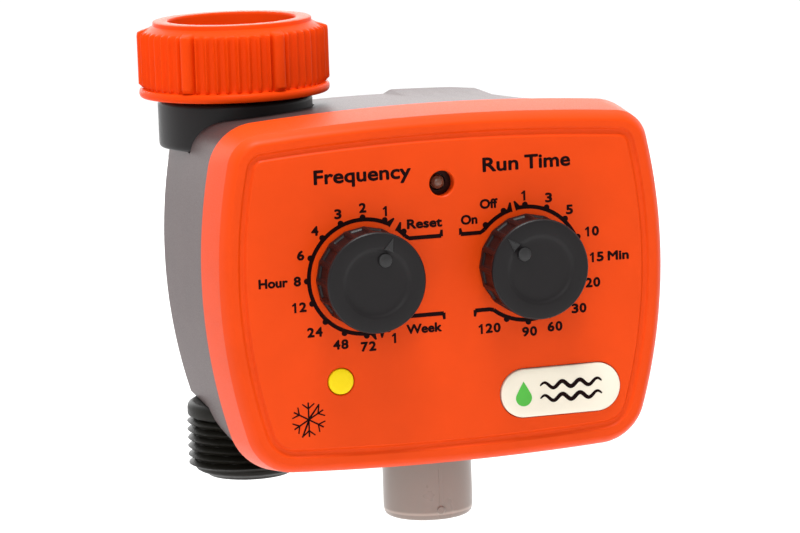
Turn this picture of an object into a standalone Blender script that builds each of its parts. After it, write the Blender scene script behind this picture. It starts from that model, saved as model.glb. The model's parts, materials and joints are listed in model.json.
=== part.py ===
"""Drip irrigation timer that screws onto a garden tap, at rest with its valve open.

A control box with two dials stands in front of a vertical water pipe. Water comes in at the orange hose nut
on top, passes a ball valve that a small motor turns, and leaves at the threaded outlet below. One AA cell
sits in a clear cup that pulls out downwards.

Lengths are in millimetres, and make_object turns them into metres. The origin is the centre of the nut's
mouth, +Z is up and the dials face -Y. Two local frames are used: the pipe frame, centred on the ball valve,
and the panel frame, with its origin midway between the dial axes on the panel's surface and Y going inwards.
"""

from math import acos, atan2, cos, pi, radians, sin, sqrt

import bmesh
import bpy
from mathutils import Vector

MM = 0.001
GAP = 0.3

# Where the two frames lie, seen from the middle of the nut's mouth
NUT_TOP = 50.2
PIPE = Vector((0.0, 0.0, -NUT_TOP))
PANEL = Vector((31.9, -45.0, -NUT_TOP))
PIPE_X, PIPE_Y = -PANEL.x, -PANEL.y

# Casing outline in the panel's plane: four long arcs joined by corner circles
CENTRE_X = 0.2
HALF_WIDTH = 47.8
TOP_Z, BOTTOM_Z = 32.0, -40.9
TOP_RADIUS, BOTTOM_RADIUS, SIDE_RADIUS = 447.0, 600.0, 114.5
TOP_CORNER, BOTTOM_CORNER = 7.2, 10.3
LONG_ARC_STEPS, CORNER_STEPS = 8, 4

# Cover and rear housing
COVER_BACK_Y, COVER_OUTSET = 12.0, 1.4
HOUSING_FRONT_Y, HOUSING_BACK_Y = 12.3, 59.5
HOUSING_OUTSET, DRAFT = 0.8, 0.0526
BACK_CORNER, HOUSING_CORNER = 9.0, 7.5
BACK_ROUNDING = 3.5
WALL = 2.2
NOTCH_WALL = 1.6
OUTLET_NOTCH_RADIUS, NOTCH_FLARE = 14.0, 0.6
POST_MEET_Y = 14.8
POST_RADIUS = 3.3
POSTS = ((38.0, 21.0), (36.0, -29.5), (-12.5, -33.5), (-8.5, 25.6))

# Dials
DIAL_X = 17.5
KNOB_RADIUS, KNOB_HEIGHT = 10.65, 9.2
SHAFT_RADIUS = 3.0
FREQUENCY_POINTER, RUN_TIME_POINTER = 22.5, -45.0

# Water way: G 3/4 threads at both ends
NUT_RADIUS, NUT_BOTTOM = 19.6, 34.3
THREAD_MINOR_RADIUS = 12.06
COLLAR_RADIUS, COLLAR_BOTTOM, COLLAR_TOP = 16.5, 23.6, 33.6
BORE_RADIUS, SPIGOT_RADIUS = 6.0, 8.6
VALVE_RADIUS, VALVE_BORE = 10.9, 8.9
VALVE_BOTTOM, VALVE_TOP = -20.0, 21.4
BALL_RADIUS, BALL_BORE = 8.4, 4.5
STEM_RADIUS = 3.0
BOSS_RADIUS, BOSS_FRONT_Y = 5.5, 28.3
OUTLET_RADIUS = 12.9
OUTLET_TOP, OUTLET_END = -31.9, -48.2

# Gear train: 12 teeth drive 36 teeth twice, so the motor turns nine times as fast as the valve
MODULE = 0.65
WHEEL_TEETH, PINION_TEETH = 36, 12
CENTRE_DISTANCE = MODULE * (WHEEL_TEETH + PINION_TEETH) / 2
TRAIN_ANGLE = radians(30.0)
OUTPUT_AT = Vector((PIPE_X, 0.0, 0.0))
IDLER_AT = OUTPUT_AT + CENTRE_DISTANCE * Vector((cos(TRAIN_ANGLE), 0.0, sin(TRAIN_ANGLE)))
MOTOR_AT = IDLER_AT + CENTRE_DISTANCE * Vector((cos(TRAIN_ANGLE), 0.0, sin(TRAIN_ANGLE)))
FIRST_STAGE_Y = (19.0, 21.5)
SECOND_STAGE_Y = (22.8, 25.8)
GEAR_PLATE_Y = (26.5, 28.0)
PIN_RADIUS = 1.0

# Battery
BATTERY_X, BATTERY_Y = 3.15, 29.0
CELL_RADIUS, CELL_BOTTOM, CELL_TOP = 7.1, -51.6, -2.1
CUP_RADIUS, CUP_BORE, CUP_BOTTOM, CUP_TOP = 9.6, 8.1, -57.4, -8.0
SLEEVE_RADIUS, SLEEVE_BORE, SLEEVE_BOTTOM, SLEEVE_TOP = 11.5, 9.95, -37.8, 1.5

# The raised pad on top of the rear housing: foot, edge, edge, foot
BOSS_X = (4.0, 6.6, 15.0, 25.5, 31.0)
BOSS_RISE = 0.8

BADGE_X, BADGE_Z, BADGE_LENGTH, BADGE_HEIGHT = 24.1, -27.3, 26.2, 10.2
LED_X, LED_Z, LED_HOLE_RADIUS = -0.5, 18.05, 2.65
PLUG_X, PLUG_Z, PLUG_RADIUS = -23.3, -21.4, 2.7


def clear_scene():
    for item in list(bpy.data.objects):
        bpy.data.objects.remove(item)


def material(name, colour, roughness=0.5, metallic=0.0):
    """A Principled material, made once for each name."""
    found = bpy.data.materials.get(name)
    if found:
        return found
    made = bpy.data.materials.new(name)
    made.use_nodes = True
    shader = made.node_tree.nodes["Principled BSDF"]
    shader.inputs["Base Color"].default_value = (*colour, 1.0)
    shader.inputs["Roughness"].default_value = roughness
    shader.inputs["Metallic"].default_value = metallic
    made.diffuse_color = (*colour, 1.0)
    return made


def make_object(name, points, faces, at=PANEL, look=None):
    """One closed mesh from points in millimetres, placed at a point in millimetres."""
    mesh = bpy.data.meshes.new(name)
    mesh.from_pydata([tuple(c * MM for c in point) for point in points], [], faces)
    shape = bmesh.new()
    shape.from_mesh(mesh)
    bmesh.ops.recalc_face_normals(shape, faces=shape.faces)
    shape.to_mesh(mesh)
    shape.free()
    mesh.shade_smooth()
    mesh.set_sharp_from_angle(angle=radians(35))
    item = bpy.data.objects.new(name, mesh)
    item.location = Vector(at) * MM
    bpy.context.scene.collection.objects.link(item)
    if look:
        mesh.materials.append(look)
    return item


def cut(target, *cutters, operation="DIFFERENCE"):
    """Adds a Boolean for each cutter, in order, and hides the cutters."""
    for cutter in cutters:
        step = target.modifiers.new(cutter.name, "BOOLEAN")
        step.operation = operation
        step.solver = "EXACT"
        step.object = cutter
        cutter.hide_render = True
        cutter.display_type = "WIRE"
    return target


def join(target, *helpers):
    return cut(target, *helpers, operation="UNION")


def loft(name, rings, at=PANEL, look=None):
    """A body through rings that all have the same number of points, closed by a face at each end."""
    count = len(rings[0])
    points = [point for ring in rings for point in ring]
    faces = [list(range(count)), list(range(len(points) - count, len(points)))]
    for start in range(0, len(points) - count, count):
        for i in range(count):
            following = (i + 1) % count
            faces.append((start + i, start + following, start + count + following, start + count + i))
    return make_object(name, points, faces, at, look)


def turned(name, profile, at, axis="Z", steps=24, look=None, ring=False):
    """A turned body from (radius, height) pairs. Unless it is a ring, the profile starts and ends on the axis."""
    points, rows = [], []
    for radius, height in profile:
        turns = steps if radius > 0 else 1
        rows.append(range(len(points), len(points) + turns))
        for i in range(turns):
            angle = 2 * pi * (i + 0.5) / steps
            across, along = radius * cos(angle), radius * sin(angle)
            points.append((across, along, height) if axis == "Z" else (across, height, along))
    pairs = list(zip(rows, rows[1:]))
    if ring:
        pairs.append((rows[-1], rows[0]))
    faces = []
    for lower, upper in pairs:
        for i in range(steps):
            corners = []
            for row, index in ((lower, i), (lower, i + 1), (upper, i + 1), (upper, i)):
                corner = row[index % len(row)]
                if corner not in corners:
                    corners.append(corner)
            if len(corners) > 2:
                faces.append(corners)
    return make_object(name, points, faces, at, look)


def cylinder(name, radius, low, high, at, axis="Z", steps=24, look=None):
    return turned(name, [(0, low), (radius, low), (radius, high), (0, high)], at, axis, steps, look)


def tube(name, outer, inner, low, high, at, axis="Z", steps=24, look=None):
    profile = [(inner, low), (outer, low), (outer, high), (inner, high)]
    return turned(name, profile, at, axis, steps, look, ring=True)


def plate(name, outline_points, near, far, at=PANEL, look=None):
    """A flat plate: an outline of (x, z) points between two depths y."""
    rings = [[(x, y, z) for x, z in outline_points] for y in (near, far)]
    return loft(name, rings, at, look)


def box(name, low, high, at=PANEL, look=None):
    corners = [(low[0], low[2]), (high[0], low[2]), (high[0], high[2]), (low[0], high[2])]
    return plate(name, corners, low[1], high[1], at, look)


def panel_at(x, z, y=0.0):
    return PANEL + Vector((x, y, z))


def arc(centre, radius, start, end, steps):
    """Points along an arc, without its last one."""
    angles = [start + (end - start) * i / steps for i in range(steps)]
    return [(centre[0] + radius * cos(a), centre[1] + radius * sin(a)) for a in angles]


def meeting_point(centre_a, radius_a, centre_b, radius_b):
    """The right-hand point where two circles cross."""
    across, up = centre_b[0] - centre_a[0], centre_b[1] - centre_a[1]
    apart = sqrt(across**2 + up**2)
    along = acos((radius_a**2 + apart**2 - radius_b**2) / (2 * radius_a * apart))
    heading = atan2(up, across)
    both = [
        (centre_a[0] + radius_a * cos(heading + turn), centre_a[1] + radius_a * sin(heading + turn))
        for turn in (along, -along)
    ]
    return max(both)


def direction(start, end):
    return atan2(end[1] - start[1], end[0] - start[0])


def outline(inset, top_corner=TOP_CORNER):
    """The casing's outline moved inwards by inset, as (x, z) points, clockwise from the middle of the top."""
    top = (0.0, TOP_Z - TOP_RADIUS)
    side = (HALF_WIDTH - SIDE_RADIUS, 0.0)
    bottom = (0.0, BOTTOM_Z + BOTTOM_RADIUS)
    upper = meeting_point(top, TOP_RADIUS - top_corner, side, SIDE_RADIUS - top_corner)
    lower = meeting_point(bottom, BOTTOM_RADIUS - BOTTOM_CORNER, side, SIDE_RADIUS - BOTTOM_CORNER)
    top_end, side_start = direction(top, upper), direction(side, upper)
    side_end, bottom_start = direction(side, lower), direction(bottom, lower)
    half = LONG_ARC_STEPS // 2
    right = arc(top, TOP_RADIUS - inset, pi / 2, top_end, half)
    right += arc(upper, top_corner - inset, top_end, side_start, CORNER_STEPS)
    right += arc(side, SIDE_RADIUS - inset, side_start, side_end, LONG_ARC_STEPS)
    right += arc(lower, BOTTOM_CORNER - inset, side_end, bottom_start, CORNER_STEPS)
    right += arc(bottom, BOTTOM_RADIUS - inset, bottom_start, -pi / 2, half)
    right.append((0.0, BOTTOM_Z + inset))
    left = [(-x, z) for x, z in reversed(right[1:-1])]
    return [(CENTRE_X + x, z) for x, z in right + left]


def top_height(x, inset):
    """Height of the outline's top arc at x."""
    return TOP_Z - TOP_RADIUS + sqrt((TOP_RADIUS - inset) ** 2 - (x - CENTRE_X) ** 2)


def ring_at(y, inset, top_corner=TOP_CORNER):
    return [(x, y, z) for x, z in outline(inset, top_corner)]


def housing_inset(y):
    """Inset of the rear housing's drafted wall at a depth y."""
    return DRAFT * (y - HOUSING_FRONT_Y) - HOUSING_OUTSET


def housing_shell(name, front, back, inset, rounding, look=None):
    """A drafted block with a rounded back edge; inset moves its walls inwards."""
    straight = back - rounding
    profile = [(front, housing_inset(front) + inset), (straight, housing_inset(straight) + inset)]
    for step in (30, 60, 90):
        turn = radians(step)
        profile.append((straight + rounding * sin(turn), profile[1][1] + rounding * (1 - cos(turn))))
    return loft(name, [ring_at(y, moved, HOUSING_CORNER) for y, moved in profile], look=look)


def stadium(x, z, length, height, steps=8):
    """A slot-shaped outline of (x, z) points about a centre."""
    radius, reach = height / 2, (length - height) / 2
    right = arc((x + reach, z), radius, -pi / 2, pi / 2, steps) + [(x + reach, z + radius)]
    left = arc((x - reach, z), radius, pi / 2, 3 * pi / 2, steps) + [(x - reach, z - radius)]
    return right + left


def bar(start, end, radius, steps=8):
    """A slot-shaped outline round the line from start to end."""
    heading = direction(start, end)
    far = arc(end, radius, heading - pi / 2, heading + pi / 2, steps)
    far.append((end[0] - radius * sin(heading), end[1] + radius * cos(heading)))
    near = arc(start, radius, heading + pi / 2, heading + 3 * pi / 2, steps)
    near.append((start[0] + radius * sin(heading), start[1] - radius * cos(heading)))
    return far + near


def gear_outline(teeth, phase):
    """Points of a toothed wheel with play at every tooth; phase is the angle of the middle of one tooth."""
    pitch = MODULE * teeth / 2
    tip, root = pitch + 0.5, pitch - 0.8
    tip_half, root_half = 0.2, 0.52
    points = []
    for i in range(teeth):
        middle = phase + 2 * pi * i / teeth
        for radius, offset in ((root, -root_half), (tip, -tip_half), (tip, tip_half), (root, root_half)):
            angle = middle + offset / radius
            points.append((radius * cos(angle), radius * sin(angle)))
    return points


def front_cover(look):
    """The orange cover: a drafted side wall, a rounded shoulder, a flat rim, a groove and the panel."""
    back_inside = WALL - COVER_OUTSET
    cover_rings = [
        ring_at(2.4, 3.2), ring_at(3.0, 2.5), ring_at(COVER_BACK_Y, back_inside, BACK_CORNER),
        ring_at(COVER_BACK_Y, -COVER_OUTSET, BACK_CORNER),
    ]
    shoulder = [(2.3, 0.0), (1.1, 0.3), (0.35, 0.9), (0.0, 1.75)]
    groove = [(0.0, 3.35), (0.55, 3.9), (0.55, 4.75), (0.0, 5.3)]
    cover_rings += [ring_at(y, inset) for y, inset in shoulder + groove]
    cover = loft("front_cover", cover_rings, look=look)
    for number, (x, z) in enumerate(POSTS, 1):
        join(cover, cylinder(f"cover_post_{number}", 3.0, 2.0, POST_MEET_Y - GAP, panel_at(x, z), "Y", 16))
    for number, (x, z) in enumerate(POSTS, 1):
        cut(cover, cylinder(f"cover_post_hole_{number}", 1.5, 4.6, 20.0, panel_at(x, z), "Y", 12))
    for side in (-1, 1):
        cut(cover, cylinder(f"shaft_hole_{side + 2}", 3.6, -1.0, 4.0, panel_at(side * DIAL_X, 0), "Y", 24))
    cut(cover, cylinder("led_hole", LED_HOLE_RADIUS, -1.0, 4.0, panel_at(LED_X, LED_Z), "Y", 24))
    cut(cover, cylinder("plug_recess", PLUG_RADIUS + GAP, -1.0, 1.0, panel_at(PLUG_X, PLUG_Z), "Y", 24))
    cut(cover, cylinder("plug_hole", 1.7, -1.0, 4.0, panel_at(PLUG_X, PLUG_Z), "Y", 16))
    recess = stadium(BADGE_X, BADGE_Z, BADGE_LENGTH + 2 * GAP, BADGE_HEIGHT + 2 * GAP)
    cut(cover, plate("badge_recess", recess, -1.0, 0.9))


def corner_notch(name, radius, low, high, flare=0.0):
    """A notch about the pipe that also takes away the casing's corner to the left of and behind it.

    Its radius is given at the top, and grows by flare for each millimetre further down.
    """
    foot = radius + flare * (high - low)
    notch = turned(f"{name}_round", [(0, low), (foot, low), (radius, high), (0, high)], PIPE, steps=40)
    side = box(f"{name}_side", (-30.0, -0.5, low), (0.4, 40.0, high), PIPE)
    return join(notch, side)


def rear_housing(look):
    """The grey tub, with notches at the corner where the inlet collar and the outlet stand."""
    housing = housing_shell("rear_housing", HOUSING_FRONT_Y, HOUSING_BACK_Y, 0.0, BACK_ROUNDING, look)
    boss = []
    for y in (30.0, 57.3):
        skin = housing_inset(y)
        raised = top_height(BOSS_X[1], skin) + BOSS_RISE if y > 40 else top_height(BOSS_X[1], skin) - 1.0
        fall = [top_height(x, skin) - top_height(BOSS_X[1], skin) for x in BOSS_X]
        line = [(x, y, raised + drop) for x, drop in zip(BOSS_X, fall)]
        line[0] = (BOSS_X[0], y, line[0][2] - BOSS_RISE - 0.4)
        line[-1] = (BOSS_X[-1], y, line[-1][2] - BOSS_RISE - 0.4)
        boss.append(line + [(BOSS_X[-1], y, 26.0), (BOSS_X[0], y, 26.0)])
    join(housing, loft("top_boss", boss))

    cavity = housing_shell("housing_cavity", HOUSING_FRONT_Y - 2.0, HOUSING_BACK_Y - WALL, WALL, 2.0)
    notch_floor = COLLAR_BOTTOM - GAP
    wide = OUTLET_NOTCH_RADIUS + NOTCH_WALL
    cut(cavity, corner_notch("low_wall", wide, -60.0, OUTLET_TOP + GAP + NOTCH_WALL, NOTCH_FLARE))
    cut(cavity, corner_notch("high_wall", COLLAR_RADIUS + GAP + NOTCH_WALL, notch_floor - NOTCH_WALL, 60.0))
    cut(housing, cavity)
    cut(housing, corner_notch("outlet_notch", OUTLET_NOTCH_RADIUS, -60.0, OUTLET_TOP + GAP, NOTCH_FLARE))
    cut(housing, corner_notch("collar_notch", COLLAR_RADIUS + GAP, notch_floor, 70.0))
    cut(housing, cylinder("valve_space", VALVE_RADIUS + 2 * GAP, VALVE_BOTTOM - 2 * GAP, 30.0, PIPE, steps=28))
    cut(housing, cylinder("spout_space", SPIGOT_RADIUS + 3 * GAP, -40.0, 0.0, PIPE, steps=28))
    cut(housing, cylinder("battery_mouth", SLEEVE_BORE, -60.0, -30.0, battery_at(), steps=28))
    for number, (x, z) in enumerate(POSTS, 1):
        join(housing, cylinder(f"housing_post_{number}", POST_RADIUS, POST_MEET_Y, 58.0, panel_at(x, z), "Y", 16))
    for number, (x, z) in enumerate(POSTS, 1):
        cut(housing, cylinder(f"driver_way_{number}", 2.6, POST_MEET_Y + 2.4, 70.0, panel_at(x, z), "Y", 16))
        cut(housing, cylinder(f"screw_hole_{number}", 1.5, 10.0, 22.0, panel_at(x, z), "Y", 12))


def battery_at(z=0.0):
    return PANEL + Vector((BATTERY_X, BATTERY_Y, z))


def housing_gasket(look):
    """A flat ring inside the joint between the cover and the rear housing."""
    rings = [ring_at(y, inset, BACK_CORNER) for y, inset in ((10.9, 2.0), (13.5, 2.0), (13.5, 3.0), (10.9, 3.0))]
    count = len(rings[0])
    points = [point for ring in rings for point in ring]
    faces = []
    for row in range(4):
        for i in range(count):
            a, b = row * count, (row + 1) % 4 * count
            following = (i + 1) % count
            faces.append((a + i, a + following, b + following, b + i))
    return make_object("housing_gasket", points, faces, PANEL, look)


def cover_screws(look):
    """Four screws that reach from deep holes in the back into the cover's posts."""
    shank_tip, head = 5.0, POST_MEET_Y + 2.7
    profile = [
        (0, shank_tip), (1.2, shank_tip + 0.5), (1.2, head), (2.3, head), (2.3, head + 1.3),
        (1.8, head + 1.9), (0, head + 1.9),
    ]
    for number, (x, z) in enumerate(POSTS, 1):
        turned(f"cover_screw_{number}", profile, panel_at(x, z), "Y", 12, look)


def knob(name, side, pointer, look):
    """A hollow dial knob with a dished face and a raised pointer; pointer is its angle clockwise from up."""
    face, skirt = -KNOB_HEIGHT, -0.4
    profile = [
        (0, face + 0.45), (6.9, face + 0.45), (7.3, face), (10.0, face), (10.6, face + 0.4),
        (KNOB_RADIUS, face + 1.2), (KNOB_RADIUS + 0.1, skirt), (9.3, skirt), (9.0, -7.2), (5.2, -7.2),
        (5.2, skirt - 0.2), (SHAFT_RADIUS + GAP, skirt - 0.2), (SHAFT_RADIUS + GAP, -6.8), (0, -6.8),
    ]
    dial = turned(name, profile, panel_at(side * DIAL_X, 0), "Y", 24, look)
    turn = radians(90 - pointer)
    tip, foot, half = 9.6, 7.6, 1.5
    corners = []
    for along, across in ((tip, 0.0), (foot, half), (foot, -half)):
        corners.append((along * cos(turn) - across * sin(turn), along * sin(turn) + across * cos(turn)))
    return join(dial, plate(f"{name}_mark", corners, face - 0.35, face + 0.8, panel_at(side * DIAL_X, 0)))


def dials(dark, metal, grey):
    """The two knobs, their shafts and the rotary switches that the shafts turn."""
    for name, side, pointer in (("frequency", -1, FREQUENCY_POINTER), ("run_time", 1, RUN_TIME_POINTER)):
        centre = panel_at(side * DIAL_X, 0)
        knob(f"{name}_knob", side, pointer, dark)
        cylinder(f"{name}_shaft", SHAFT_RADIUS, -6.4, 8.9, centre, "Y", 20, metal)
        body = box(f"{name}_switch", (-7, 5.5, -7), (7, 11.6, 7), centre, grey)
        cut(body, cylinder(f"{name}_switch_hole", SHAFT_RADIUS + GAP, 4.0, 9.3, centre, "Y", 20))


def front_details(ivory, yellow, clear, dark):
    """The badge, the yellow disc and the light with its holder."""
    low, high = 0.6, -0.75
    rings = []
    for y, shrink in ((low, 0.0), (-0.2, 0.0), (-0.5, 0.35), (high, 1.1)):
        ring = stadium(BADGE_X, BADGE_Z, BADGE_LENGTH - 2 * shrink, BADGE_HEIGHT - 2 * shrink)
        rings.append([(x, y, z) for x, z in ring])
    loft("badge", rings, look=ivory)
    disc = [(0, -0.15), (2.5, -0.15), (PLUG_RADIUS, 0.05), (PLUG_RADIUS, 0.7), (1.4, 0.7), (1.4, 4.2), (0, 4.2)]
    turned("yellow_plug", disc, panel_at(PLUG_X, PLUG_Z), "Y", 24, yellow)
    ring = [(1.9, 2.8), (3.9, 2.8), (3.9, 5.0), (1.9, 5.0)]
    turned("led_holder", ring, panel_at(LED_X, LED_Z), "Y", 20, dark, ring=True)
    bulb = [(0, 1.3), (0.8, 1.5), (1.35, 2.1), (1.5, 2.8), (1.5, 5.4), (1.9, 5.4), (1.9, 6.3), (0, 6.3)]
    lamp = turned("led", bulb, panel_at(LED_X, LED_Z), "Y", 16, clear)
    for side in (-1, 1):
        centre = 0.9 * side
        join(lamp, box(f"led_leg_{side + 2}", (centre - 0.25, 6.0, -0.25), (centre + 0.25, 11.6, 0.25),
                       panel_at(LED_X, LED_Z)))


def circuit_board(look):
    box("circuit_board", (-31.0, 12.0, -14.0), (33.0, 13.6, 21.6), look=look)


def hose_nut(look):
    """The swivel nut: a flange, the grip, a cone, the mouth and the thread's minor bore above a lip."""
    profile = [
        (11.2, NUT_BOTTOM), (19.6, NUT_BOTTOM), (20.3, NUT_BOTTOM + 0.6), (20.3, NUT_BOTTOM + 1.5),
        (NUT_RADIUS, NUT_BOTTOM + 2.0), (NUT_RADIUS, 47.0), (17.2, 49.5), (16.6, NUT_TOP),
        (13.9, NUT_TOP), (13.6, NUT_TOP - 0.4), (13.6, 47.4), (THREAD_MINOR_RADIUS, 46.4),
        (THREAD_MINOR_RADIUS, NUT_BOTTOM + 1.8), (11.2, NUT_BOTTOM + 1.8),
    ]
    turned("hose_nut", profile, PIPE, steps=36, look=look, ring=True)


def water_way(black, dark, steel, rubber, white, brass):
    """Everything on the pipe's axis apart from the nut, from the inlet down to the outlet."""
    collar = [
        (11.2, COLLAR_BOTTOM), (15.0, COLLAR_BOTTOM), (16.1, COLLAR_BOTTOM + 0.5),
        (COLLAR_RADIUS, COLLAR_BOTTOM + 1.6), (COLLAR_RADIUS, COLLAR_TOP - 0.6), (16.0, COLLAR_TOP),
        (11.2, COLLAR_TOP),
    ]
    turned("inlet_collar", collar, PIPE, steps=32, look=dark, ring=True)
    seat_back = BALL_RADIUS + 0.2
    tail = [
        (BORE_RADIUS, seat_back + GAP), (SPIGOT_RADIUS, seat_back + GAP), (SPIGOT_RADIUS, VALVE_TOP + GAP),
        (10.8, VALVE_TOP + GAP), (10.8, 36.5), (11.7, 36.5), (11.7, 38.3), (BORE_RADIUS, 38.3),
    ]
    turned("inlet_tail", tail, PIPE, look=black, ring=True)
    tube("tap_washer", 11.7, 8.1, 38.6, 41.0, PIPE, look=rubber)
    basket = [(0, 26.0), (5.6, 26.0), (5.6, 38.7), (7.7, 38.7), (7.7, 39.7), (4.8, 39.7), (4.8, 27.0), (0, 27.0)]
    turned("filter_screen", basket, PIPE, steps=24, look=steel)

    body = tube("valve_body", VALVE_RADIUS, VALVE_BORE, VALVE_BOTTOM, VALVE_TOP, PIPE, look=white)
    boss = cylinder("stem_boss", BOSS_RADIUS, BOSS_FRONT_Y - PIPE_Y, -9.8, PIPE, "Y", 24)
    stem_way = cylinder("stem_way", STEM_RADIUS + GAP, -25.0, -5.0, PIPE, "Y", 24)
    cut(join(body, boss), stem_way)
    seat = [(SPIGOT_RADIUS, 5.4), (SPIGOT_RADIUS, seat_back), (4.9, seat_back), (4.9, 7.25), (6.9, 5.4)]
    turned("upper_seat", seat, PIPE, steps=24, look=white, ring=True)
    turned("lower_seat", [(r, -z) for r, z in seat], PIPE, steps=24, look=white, ring=True)
    rows = 10
    sphere = [(BALL_RADIUS * sin(pi * i / rows), -BALL_RADIUS * cos(pi * i / rows)) for i in range(1, rows)]
    ball = turned("valve_ball", [(0, -BALL_RADIUS)] + sphere + [(0, BALL_RADIUS)], PIPE, steps=24, look=brass)
    cut(ball, cylinder("ball_bore", BALL_BORE, -20.0, 20.0, PIPE, steps=24))
    cut(ball, box("ball_slot", (-1.2, -12.0, -12.0), (1.2, -6.1, 12.0), PIPE))

    spigot_end = -seat_back - GAP
    outlet = [
        (BORE_RADIUS, spigot_end), (SPIGOT_RADIUS, spigot_end), (SPIGOT_RADIUS, -13.5), (7.5, -13.5),
        (7.5, -15.5), (SPIGOT_RADIUS, -15.5), (SPIGOT_RADIUS, OUTLET_TOP), (11.9, OUTLET_TOP),
        (13.0, OUTLET_TOP - 1.1), (13.0, -34.8), (OUTLET_RADIUS, -35.2), (OUTLET_RADIUS, -45.0),
        (11.4, -46.3), (9.7, -47.0), (8.9, OUTLET_END), (7.0, OUTLET_END), (7.0, -32.0), (BORE_RADIUS, -31.0),
    ]
    turned("outlet_spout", outlet, PIPE, look=black, ring=True)
    tube("outlet_seal", SPIGOT_RADIUS, 7.8, -15.2, -13.8, PIPE, look=rubber)


def valve_drive(white, metal, brass, steel, rubber):
    """The stem that turns the ball and the two-stage gear train in front of it."""
    stem = [
        (0, 22.0), (2.4, 22.0), (2.4, 26.2), (STEM_RADIUS, 26.8), (STEM_RADIUS, 30.4), (2.2, 30.4),
        (2.2, 32.6), (STEM_RADIUS, 32.6), (STEM_RADIUS, 35.6), (0, 35.6),
    ]
    at = PANEL + OUTPUT_AT
    spindle = turned("valve_stem", stem, at, "Y", 20, brass)
    join(spindle, box("stem_tongue", (-0.9, 34.0, -2.6), (0.9, 38.5, 2.6), at))
    tube("stem_seal", STEM_RADIUS, 2.5, 30.7, 32.3, at, "Y", 20, rubber)
    wheel = plate("output_gear", gear_outline(WHEEL_TEETH, TRAIN_ANGLE), *SECOND_STAGE_Y, at, white)
    cut(wheel, cylinder("output_bore", 2.7, 15.0, 30.0, at, "Y", 20))

    at = PANEL + IDLER_AT
    mesh_phase = TRAIN_ANGLE + pi + pi / PINION_TEETH
    idler = plate("idler_gear", gear_outline(WHEEL_TEETH, TRAIN_ANGLE), *FIRST_STAGE_Y, at, white)
    small = plate("idler_small_gear", gear_outline(PINION_TEETH, mesh_phase), 21.0, SECOND_STAGE_Y[1], at)
    cut(join(idler, small), cylinder("idler_bore", PIN_RADIUS + GAP, 15.0, 30.0, at, "Y", 16))
    axle = [(0, 17.8), (1.9, 17.8), (1.9, 18.5), (PIN_RADIUS, 18.5), (PIN_RADIUS, 28.6), (0, 28.6)]
    turned("idler_axle", axle, at, "Y", 16, steel)

    at = PANEL + MOTOR_AT
    pinion = plate("motor_pinion", gear_outline(PINION_TEETH, mesh_phase), *FIRST_STAGE_Y, at, brass)
    cut(pinion, cylinder("pinion_bore", PIN_RADIUS + GAP, 15.0, 25.0, at, "Y", 16))
    cylinder("motor_shaft", PIN_RADIUS, 18.5, 30.0, at, "Y", 16, steel)
    flat = plate("gear_motor", stadium(0, 0, 12.0, 10.0), 28.6, 43.2, at, metal)
    cut(flat, cylinder("motor_bearing", PIN_RADIUS + GAP, 20.0, 31.0, at, "Y", 16))

    ends = [(place.x, place.z) for place in (OUTPUT_AT, MOTOR_AT)]
    backing = plate("gear_plate", bar(*ends, 6.8), *GEAR_PLATE_Y, look=metal)
    for name, place, radius in (("stem", OUTPUT_AT, 3.4), ("axle", IDLER_AT, 1.3), ("motor", MOTOR_AT, 1.8)):
        cut(backing, cylinder(f"plate_hole_{name}", radius, 20.0, 30.0, PANEL + place, "Y", 16))


def coil(name, radius, wire, low, high, turns, at, look):
    """A compression spring of round wire, standing on the Z axis."""
    sides, steps = 5, 12
    count = turns * steps
    rings = []
    for i in range(count + 1):
        angle = 2 * pi * i / steps
        height = low + (high - low) * i / count
        out = Vector((cos(angle), sin(angle), 0.0))
        ring = []
        for side in range(sides):
            around = 2 * pi * side / sides
            ring.append(out * (radius + wire * cos(around)) + Vector((0, 0, height + wire * sin(around))))
        rings.append(ring)
    return loft(name, rings, at, look)


def battery_compartment(clear, grey, steel, rubber, cell_look):
    """The fixed sleeve, the cup that slides out of it, and the cell with its contacts."""
    at = battery_at()
    sleeve = [
        (0, SLEEVE_TOP - 1.4), (SLEEVE_BORE, SLEEVE_TOP - 1.4), (SLEEVE_BORE, SLEEVE_BOTTOM),
        (SLEEVE_RADIUS, SLEEVE_BOTTOM), (SLEEVE_RADIUS, SLEEVE_TOP), (0, SLEEVE_TOP),
    ]
    turned("battery_sleeve", sleeve, at, look=grey)
    cup = [
        (0, CUP_BOTTOM), (CUP_RADIUS - 1.2, CUP_BOTTOM), (CUP_RADIUS - 0.3, CUP_BOTTOM + 0.4),
        (CUP_RADIUS, CUP_BOTTOM + 1.3), (CUP_RADIUS, -36.6), (8.9, -36.6), (8.9, -34.2), (CUP_RADIUS, -34.2),
        (CUP_RADIUS, CUP_TOP), (CUP_BORE, CUP_TOP), (CUP_BORE, CUP_BOTTOM + 1.6), (0, CUP_BOTTOM + 1.6),
    ]
    turned("battery_cup", cup, at, look=clear)
    tube("cup_seal", 9.8, 9.2, -36.3, -34.5, at, look=rubber)
    cell = [
        (0, CELL_BOTTOM), (CELL_RADIUS - 0.4, CELL_BOTTOM), (CELL_RADIUS, CELL_BOTTOM + 0.4),
        (CELL_RADIUS, CELL_TOP - 0.4), (CELL_RADIUS - 0.4, CELL_TOP), (2.7, CELL_TOP), (2.7, CELL_TOP + 1.0),
        (0, CELL_TOP + 1.0),
    ]
    turned("battery_cell", cell, at, steps=24, look=cell_look)
    coil("cell_spring", 4.5, 0.5, CUP_BOTTOM + 2.5, CELL_BOTTOM - 0.9, 2, at, steel)
    cylinder("contact_plate", 4.5, CELL_TOP + 1.3, CELL_TOP + 1.8, at, steps=20, look=steel)
    box("contact_strip", (-1.2, 7.42, -50.0), (1.2, 7.74, -10.0), at, steel)


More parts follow.
